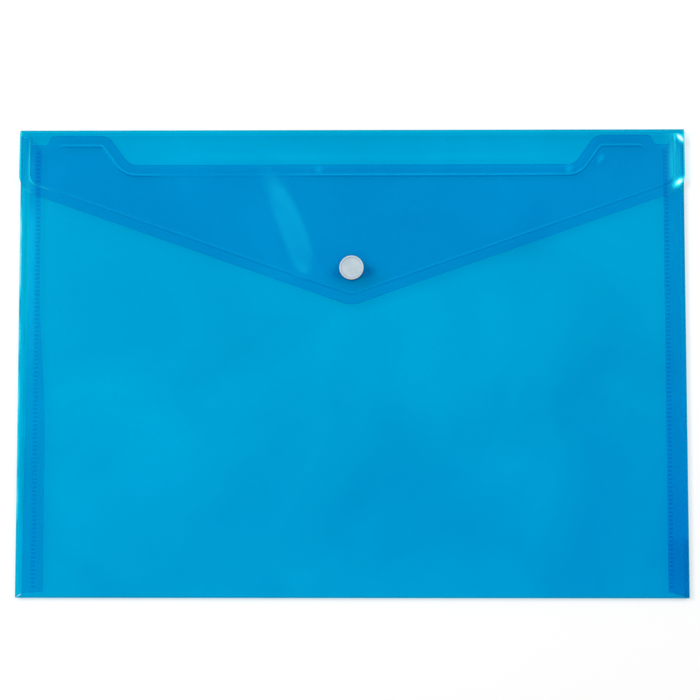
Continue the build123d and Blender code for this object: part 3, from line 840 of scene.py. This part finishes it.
def film_finish(name, tint, base_share, grazing_share, shade_share):
    """Blue film: share = base + marks of the mesh + clouds + painted shade + scratches + specks + grazing
    view.
    """
    material, wire = new_finish(name)
    place = wire.node("TexCoord", output="Object")
    line, haze, highlight = (wire.node("Attribute", {"attribute_name": mark}, output="Fac")
                         for mark in ("line", "haze", "highlight"))
    grazing = wire.node("LayerWeight", inputs={"Blend": 0.5}, output="Facing")
    clouds = place.noise(scale=13.0, detail=3.0, distortion=0.7)
    stretched = wire.node("Mapping", inputs={"Vector": place, "Scale": (900.0, 22.0, 300.0)})
    scratch = stretched.noise(scale=1.0, detail=1.0).between(0.70, 0.80)
    specks = wire.node("TexVoronoi", inputs={"Vector": place, "Scale": 55.0}, output="Distance")
    speck = 1 - specks.between(0.012, 0.022)
    grain = place.noise(scale=900.0, detail=2.0)
    bump = wire.node("Bump", inputs={"Strength": 0.014, "Distance": 0.0002,
                                     "Height": grain + scratch * SCRATCH_DEPTH}, output="Normal")
    across, up = (wire.node("SeparateXYZ", inputs={"Vector": place}, output=i) for i in range(2))
    # painted shade: darker towards the lower right, away from the key lamp, but not on the back
    low_right = across * 1.6 + (0 - up).between(-0.03, 0.09) * 0.5 + 0.15
    shade = low_right.between(0.0, 1.0) * (1 - haze)
    # painted shade on the back and painted highlights raise the share of scatter
    share = line + haze * BACK_SHADE_SHARE + highlight * HIGHLIGHT_SHARE + grazing ** GRAZING_POWER * grazing_share
    share = share + clouds * CLOUD_SHARE + shade * shade_share + scratch * SCRATCH_SHARE
    share = share + speck * SPECK_SHARE + base_share
    depth = (line * LINE_DEPTH + grazing).between(0.0, 1.0)
    colour = haze.mix(depth.mix(shade.mix(HAZE_BLUE, SHADE_BLUE), DEEP_BLUE), BACK_SHADE_BLUE)
    # scratches and painted highlights turn the film pale, and strong painted highlights white
    colour = (scratch * SCRATCH_PALE + highlight * HIGHLIGHT_PALE).between(0.0, 1.0).mix(colour, PALE_BLUE)
    body = wire.node("BsdfPrincipled", inputs={
        "Base Color": highlight.between(0.3, 0.9).mix(colour, HIGHLIGHT_WHITE), "Roughness": clouds * 0.08 + 0.14,
        "IOR": 1.5, "Specular IOR Level": 1.0, "Specular Tint": GLOSS_TINT, "Normal": bump})
    clear = wire.node("BsdfTransparent", inputs={"Color": (*np.sqrt(tint), 1.0)})
    skin = wire.node("MixShader", inputs={0: share, 1: clear, 2: body})
    wire.node("OutputMaterial", inputs={"Surface": skin})
    return material


blue_film = film_finish("blue_film", FILM_TINT, -0.03, 0.4, 0.06)
tab_film = film_finish("tab_film", TAB_TINT, -0.04, 0.3, 0.015)
welded_film = film_finish("welded_film", TAB_TINT, 0.045, 0.3, 0.0)
print("film tint", FILM_TINT, "and under the front", TAB_TINT)

# %% [markdown]
# ## Frosted white plastic
# The stud is moulded in milky white plastic with a fine spark-eroded face. The grain is noise in both
# roughness and bump, the colour drifts a little, and the rim is smoother than the face and carries a painted
# highlight, paler than the face. A shallow groove inside the rim carries painted shade, a darker blue.

# %% Stud finish
FACE_DARK, FACE_LIGHT = (0.35, 0.44, 0.50, 1.0), (0.42, 0.50, 0.555, 1.0)
GROOVE_SHADE_BLUE, RIM_HIGHLIGHT_WHITE = (0.20, 0.34, 0.45, 1.0), (0.62, 0.60, 0.60, 1.0)


def stud_finish(name):
    """White plastic: drift and grain by noise, rim and groove by the distance from the axis."""
    material, wire = new_finish(name)
    place = wire.node("TexCoord", output="Object")
    drift, grain = place.noise(scale=260.0, detail=3.0), place.noise(scale=5200.0, detail=2.0)
    from_axis = wire.node("VectorMath", {"operation": "SUBTRACT"}, {0: place, 1: (0.0, SNAP_Y * MM, 0.0)})
    flat = wire.node("VectorMath", {"operation": "MULTIPLY"}, {0: from_axis, 1: (1.0, 1.0, 0.0)})
    radius = wire.node("VectorMath", {"operation": "LENGTH"}, {0: flat}, output="Value")
    rim = radius.between(0.00545, 0.0057)
    groove = radius.between(0.0047, 0.0052) - rim
    face = (drift + grain * 0.8 - 0.4).between(0.25, 0.75).mix(FACE_DARK, FACE_LIGHT)
    # painted highlight on the rim and painted shade in the groove
    colour = rim.mix((groove * 0.6).mix(face, GROOVE_SHADE_BLUE), RIM_HIGHLIGHT_WHITE)
    bump = wire.node("Bump", inputs={"Strength": 0.35, "Distance": 0.00005, "Height": grain}, output="Normal")
    body = wire.node("BsdfPrincipled", inputs={
        "Base Color": colour, "Roughness": grain * 0.2 - rim * 0.12 + 0.38, "IOR": 1.49, "Normal": bump})
    wire.node("OutputMaterial", inputs={"Surface": body})
    return material


white_plastic = stud_finish("white_plastic")
print("finishes:", [m.name for m in (blue_film, tab_film, welded_film, white_plastic)])

# %% [markdown]
# ## Hanging the pieces on the frame
# Each piece takes its finish and hides the CAD nodes it stands for, and all but the flap's sheet ride on
# the body that carries them.

# %% Pieces and bodies


def dress(piece, finish, nodes, body=None):
    """Gives a piece its finish and slot, hides the CAD nodes it stands for and lets it ride on a body."""
    piece.data.materials.append(finish)
    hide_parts(*nodes)
    if body:
        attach(piece, body)


dress(pocket_sheet, blue_film, ["back_panel", "bottom_fold", "front_panel"], "pocket")
dress(left_tab, tab_film, ["left_side_tab"], "pocket")
dress(right_tab, tab_film, ["right_side_tab"], "pocket")
dress(left_welds, welded_film, ["left_weld_row"], "pocket")
dress(right_welds, welded_film, ["right_weld_row"], "pocket")
dress(flap_sheet, blue_film, ["top_fold", "flap_panel"])
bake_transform(flap_sheet)
dress(flap_button, white_plastic, ["flap_cap"], "flap")
dress(flap_ring, white_plastic, ["flap_socket"], "flap")
dress(pocket_knob, white_plastic, ["pocket_stud"], "pocket")
dress(pocket_button, white_plastic, ["pocket_cap"], "pocket")

# %% [markdown]
# ## Stage
# The photograph was taken from nearly straight above on white. The stage is a white cove, a disc whose rim
# sweeps up, so that other views have a plain background too. Half of its white comes from the Light Path
# node: to the camera, and in mirrors and clear things, it glows white. The other half takes lamplight and the
# wallet's shadow. Its glow is no lamp, so it is left out of light sampling.

# %% Stage
COVE_FLAT, COVE_SWEEP, COVE_DROP, COVE_SPOKES, COVE_RINGS = 2.3, 1.0, 0.0004, 96, [0.05, 0.4, 1.0, 1.7]
FLOOR_WHITE, FLOOR_GLOW, GLOW_SHARE = (0.93, 0.93, 0.93, 1.0), (1.0, 1.0, 1.0, 1.0), 0.5
sweep = np.radians(np.linspace(-90, 0, 19))
cove_r = np.concatenate([COVE_RINGS, COVE_FLAT + COVE_SWEEP * np.cos(sweep)])[:, None]
cove_z = np.concatenate([0 * np.array(COVE_RINGS), COVE_SWEEP * (1 + np.sin(sweep))])[:, None] - COVE_DROP
around = np.linspace(0, 2 * np.pi, COVE_SPOKES, endpoint=False)
cove = np.stack([cove_r * np.cos(around), cove_r * np.sin(around), cove_z + 0 * around], -1)
cove_cells = ring_cells(len(cove_r), COVE_SPOKES).tolist() + [list(range(COVE_SPOKES))]
floor = put_mesh("floor", cove.reshape(-1, 3) / MM, cove_cells)

paper_white, wire = new_finish("paper_white")
seen = wire.node("LightPath", output="Is Camera Ray") + wire.node("LightPath", output="Is Glossy Ray")
seen = seen + wire.node("LightPath", output="Is Transmission Ray")
matt = wire.node("BsdfDiffuse", inputs={"Color": FLOOR_WHITE})
glow = wire.node("Emission", inputs={"Color": FLOOR_GLOW, "Strength": 1.0})
paper = wire.node("MixShader", inputs={0: seen.between(0.0, 1.0) * GLOW_SHARE, 1: matt, 2: glow})
wire.node("OutputMaterial", inputs={"Surface": paper})
paper_white.cycles.emission_sampling = "NONE"
floor.data.materials.append(paper_white)

# %% [markdown]
# ## Light
# Three soft square lamps and a dim white sky. The key stands high on the left, just far enough out that flat
# film doesn't mirror it and only the pleat does. The fill and the top lamp even out the right and the top.

# %% Light
SKY_WHITE, SKY_LEVEL = (1.0, 1.0, 1.0, 1.0), 0.25
LAMPS = {"key": ((-0.80, 0.34, 1.42), 0.48, 19.0), "fill": ((0.67, 0.46, 1.25), 0.4, 6.0),
         "top": ((0.0, 0.85, 1.3), 0.5, 3.1)}
world = bpy.data.worlds.new("studio")
bpy.context.scene.world = world
world.use_nodes = True
sky = world.node_tree.nodes["Background"]
sky.inputs["Color"].default_value = SKY_WHITE
sky.inputs["Strength"].default_value = SKY_LEVEL


def softbox(name, place, size, watts):
    """A square area lamp that points at the wallet's middle."""
    lamp = bpy.data.lights.new(name, "AREA")
    lamp.shape, lamp.size, lamp.energy = "SQUARE", size, watts
    holder = bpy.data.objects.new(name, lamp)
    holder.location = place
    away = np.array(place) / np.linalg.norm(place)
    holder.rotation_mode = "QUATERNION"
    holder.rotation_quaternion = (1 + away[2], *np.cross([0, 0, 1.0], away))
    holder.rotation_quaternion.normalize()
    bpy.context.scene.collection.objects.link(holder)


for lamp_name, lamp in LAMPS.items():
    softbox(lamp_name, *lamp)
print("lamps:", list(LAMPS))

# %% [markdown]
# ## Camera
# Lens and place were fitted to the wallet's four edges: nearly straight above, leaning less than four
# degrees towards its foot, from 0.8 m.

# %% Camera
LENS, SENSOR, FILM_LAYERS_SEEN = 81.791, 36.0, 32
CAMERA_DISTANCE, LEAN_DOWN, LEAN_RIGHT = 0.8, math.radians(3.837), math.radians(0.6045)
CAMERA_TARGET = np.array([-0.000831, 0.006099, 0.0])
camera_data = bpy.data.cameras.new("camera")
camera_data.sensor_width, camera_data.lens = SENSOR, LENS
camera = bpy.data.objects.new("camera", camera_data)
bpy.context.scene.collection.objects.link(camera)
camera.location = CAMERA_TARGET + CAMERA_DISTANCE * np.array([
    math.cos(LEAN_DOWN) * math.sin(LEAN_RIGHT), -math.sin(LEAN_DOWN),
    math.cos(LEAN_DOWN) * math.cos(LEAN_RIGHT)])
camera.rotation_euler = (LEAN_DOWN, LEAN_RIGHT, 0.0)
bpy.context.scene.camera = camera
bpy.context.scene.view_settings.view_transform = "Standard"
bpy.context.scene.cycles.transparent_max_bounces = FILM_LAYERS_SEEN
print("camera at", [round(v, 4) for v in camera.location])

# %% [markdown]
# ## Sizes and the end
# The visual model keeps to the CAD model's box.
